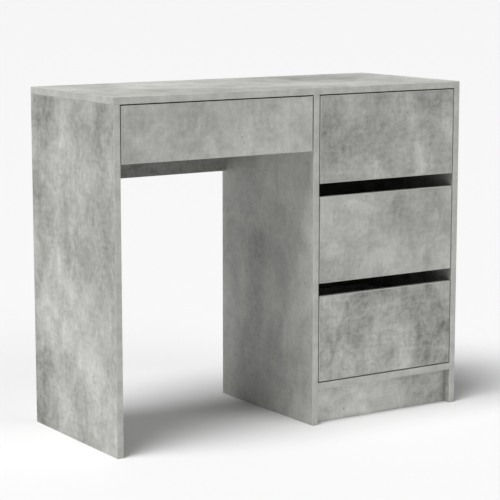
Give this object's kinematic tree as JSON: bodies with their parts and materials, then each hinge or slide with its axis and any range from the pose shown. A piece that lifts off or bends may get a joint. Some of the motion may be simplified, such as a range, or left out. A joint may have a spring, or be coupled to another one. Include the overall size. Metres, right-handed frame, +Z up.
{
  "type": "writing desk with drawers",
  "caption": "Pedestal writing desk in concrete-look laminated board: slab leg, wide drawer over the kneehole, stack of handleless inset drawers with finger gaps, recessed plinth.",
  "frame": {"origin": "on the floor, at the middle of the desk's footprint", "axes": "+X along the desk from the slab leg to the drawer pedestal, +Y towards the back (drawers open towards -Y), +Z up"},
  "size_m": [0.9, 0.37, 0.75],
  "materials": {
    "concrete_laminate": "concrete-look melamine on particle board, satin",
    "drawer_box_board": "plain grey melamine on particle board, satin",
    "hardboard": "thin fibre board, lacquered on one face",
    "runner_steel": "powder-coated pressed steel",
    "roller_plastic": "moulded nylon",
    "zinc_fixings": "zinc plated",
    "beech_dowel": "raw beech"
  },
  "bodies": {
    "frame": {"centre_drawer_left_cabinet_runner": "runner_steel", "centre_drawer_right_cabinet_runner": "runner_steel", "frame_cam_bolts": "zinc_fixings", "frame_cam_discs": "zinc_fixings", "frame_dowels": "beech_dowel", "kneehole_rail": "concrete_laminate", "leg_panel": "concrete_laminate", "lower_drawer_left_cabinet_runner": "runner_steel", "lower_drawer_right_cabinet_runner": "runner_steel", "middle_drawer_left_cabinet_runner": "runner_steel", "middle_drawer_right_cabinet_runner": "runner_steel", "outer_side_panel": "concrete_laminate", "partition_panel": "concrete_laminate", "pedestal_back_board": "hardboard", "pedestal_floor": "concrete_laminate", "plinth_board": "concrete_laminate", "runner_screws": "zinc_fixings", "top_panel": "concrete_laminate", "upper_drawer_left_cabinet_runner": "runner_steel", "upper_drawer_right_cabinet_runner": "runner_steel"},
    "centre_drawer": {"centre_drawer_back": "drawer_box_board", "centre_drawer_bottom": "hardboard", "centre_drawer_fixings": "zinc_fixings", "centre_drawer_front": "concrete_laminate", "centre_drawer_left_drawer_runner": "runner_steel", "centre_drawer_left_side": "drawer_box_board", "centre_drawer_right_drawer_runner": "runner_steel", "centre_drawer_right_side": "drawer_box_board"},
    "upper_drawer": {"upper_drawer_back": "drawer_box_board", "upper_drawer_bottom": "hardboard", "upper_drawer_fixings": "zinc_fixings", "upper_drawer_front": "concrete_laminate", "upper_drawer_left_drawer_runner": "runner_steel", "upper_drawer_left_side": "drawer_box_board", "upper_drawer_right_drawer_runner": "runner_steel", "upper_drawer_right_side": "drawer_box_board"},
    "middle_drawer": {"middle_drawer_back": "drawer_box_board", "middle_drawer_bottom": "hardboard", "middle_drawer_fixings": "zinc_fixings", "middle_drawer_front": "concrete_laminate", "middle_drawer_left_drawer_runner": "runner_steel", "middle_drawer_left_side": "drawer_box_board", "middle_drawer_right_drawer_runner": "runner_steel", "middle_drawer_right_side": "drawer_box_board"},
    "lower_drawer": {"lower_drawer_back": "drawer_box_board", "lower_drawer_bottom": "hardboard", "lower_drawer_fixings": "zinc_fixings", "lower_drawer_front": "concrete_laminate", "lower_drawer_left_drawer_runner": "runner_steel", "lower_drawer_left_side": "drawer_box_board", "lower_drawer_right_drawer_runner": "runner_steel", "lower_drawer_right_side": "drawer_box_board"},
    "centre_drawer_cabinet_rollers": {"centre_drawer_cabinet_rollers": "roller_plastic"},
    "centre_drawer_drawer_rollers": {"centre_drawer_drawer_rollers": "roller_plastic"},
    "lower_drawer_cabinet_rollers": {"lower_drawer_cabinet_rollers": "roller_plastic"},
    "lower_drawer_drawer_rollers": {"lower_drawer_drawer_rollers": "roller_plastic"},
    "middle_drawer_cabinet_rollers": {"middle_drawer_cabinet_rollers": "roller_plastic"},
    "middle_drawer_drawer_rollers": {"middle_drawer_drawer_rollers": "roller_plastic"},
    "upper_drawer_cabinet_rollers": {"upper_drawer_cabinet_rollers": "roller_plastic"},
    "upper_drawer_drawer_rollers": {"upper_drawer_drawer_rollers": "roller_plastic"}
  },
  "joints": [
    {"name": "centre_drawer_slide", "type": "slide", "parent": "frame", "child": "centre_drawer", "axis": [0, -1, 0], "range_m": [0, 0.22]},
    {"name": "upper_drawer_slide", "type": "slide", "parent": "frame", "child": "upper_drawer", "axis": [0, -1, 0], "range_m": [0, 0.22]},
    {"name": "middle_drawer_slide", "type": "slide", "parent": "frame", "child": "middle_drawer", "axis": [0, -1, 0], "range_m": [0, 0.22]},
    {"name": "lower_drawer_slide", "type": "slide", "parent": "frame", "child": "lower_drawer", "axis": [0, -1, 0], "range_m": [0, 0.22]},
    {"name": "centre_drawer_cabinet_rollers_turn", "type": "hinge", "parent": "frame", "child": "centre_drawer_cabinet_rollers", "pos_m": [0, -0.156, 0.63965], "axis": [1, 0, 0], "continuous": true},
    {"name": "centre_drawer_drawer_rollers_turn", "type": "hinge", "parent": "centre_drawer", "child": "centre_drawer_drawer_rollers", "pos_m": [0, 0.118, 0.63965], "axis": [1, 0, 0], "continuous": true},
    {"name": "upper_drawer_cabinet_rollers_turn", "type": "hinge", "parent": "frame", "child": "upper_drawer_cabinet_rollers", "pos_m": [0, -0.156, 0.56732], "axis": [1, 0, 0], "continuous": true},
    {"name": "upper_drawer_drawer_rollers_turn", "type": "hinge", "parent": "upper_drawer", "child": "upper_drawer_drawer_rollers", "pos_m": [0, 0.118, 0.56732], "axis": [1, 0, 0], "continuous": true},
    {"name": "middle_drawer_cabinet_rollers_turn", "type": "hinge", "parent": "frame", "child": "middle_drawer_cabinet_rollers", "pos_m": [0, -0.156, 0.34598], "axis": [1, 0, 0], "continuous": true},
    {"name": "middle_drawer_drawer_rollers_turn", "type": "hinge", "parent": "middle_drawer", "child": "middle_drawer_drawer_rollers", "pos_m": [0, 0.118, 0.34598], "axis": [1, 0, 0], "continuous": true},
    {"name": "lower_drawer_cabinet_rollers_turn", "type": "hinge", "parent": "frame", "child": "lower_drawer_cabinet_rollers", "pos_m": [0, -0.156, 0.12465], "axis": [1, 0, 0], "continuous": true},
    {"name": "lower_drawer_drawer_rollers_turn", "type": "hinge", "parent": "lower_drawer", "child": "lower_drawer_drawer_rollers", "pos_m": [0, 0.118, 0.12465], "axis": [1, 0, 0], "continuous": true}
  ],
  "couplings": [
    {"joint": "centre_drawer_cabinet_rollers_turn", "follows": "centre_drawer_slide", "rad_per_m": 127.39},
    {"joint": "centre_drawer_drawer_rollers_turn", "follows": "centre_drawer_slide", "rad_per_m": 127.39},
    {"joint": "upper_drawer_cabinet_rollers_turn", "follows": "upper_drawer_slide", "rad_per_m": 127.39},
    {"joint": "upper_drawer_drawer_rollers_turn", "follows": "upper_drawer_slide", "rad_per_m": 127.39},
    {"joint": "middle_drawer_cabinet_rollers_turn", "follows": "middle_drawer_slide", "rad_per_m": 127.39},
    {"joint": "middle_drawer_drawer_rollers_turn", "follows": "middle_drawer_slide", "rad_per_m": 127.39},
    {"joint": "lower_drawer_cabinet_rollers_turn", "follows": "lower_drawer_slide", "rad_per_m": 127.39},
    {"joint": "lower_drawer_drawer_rollers_turn", "follows": "lower_drawer_slide", "rad_per_m": 127.39}
  ]
}
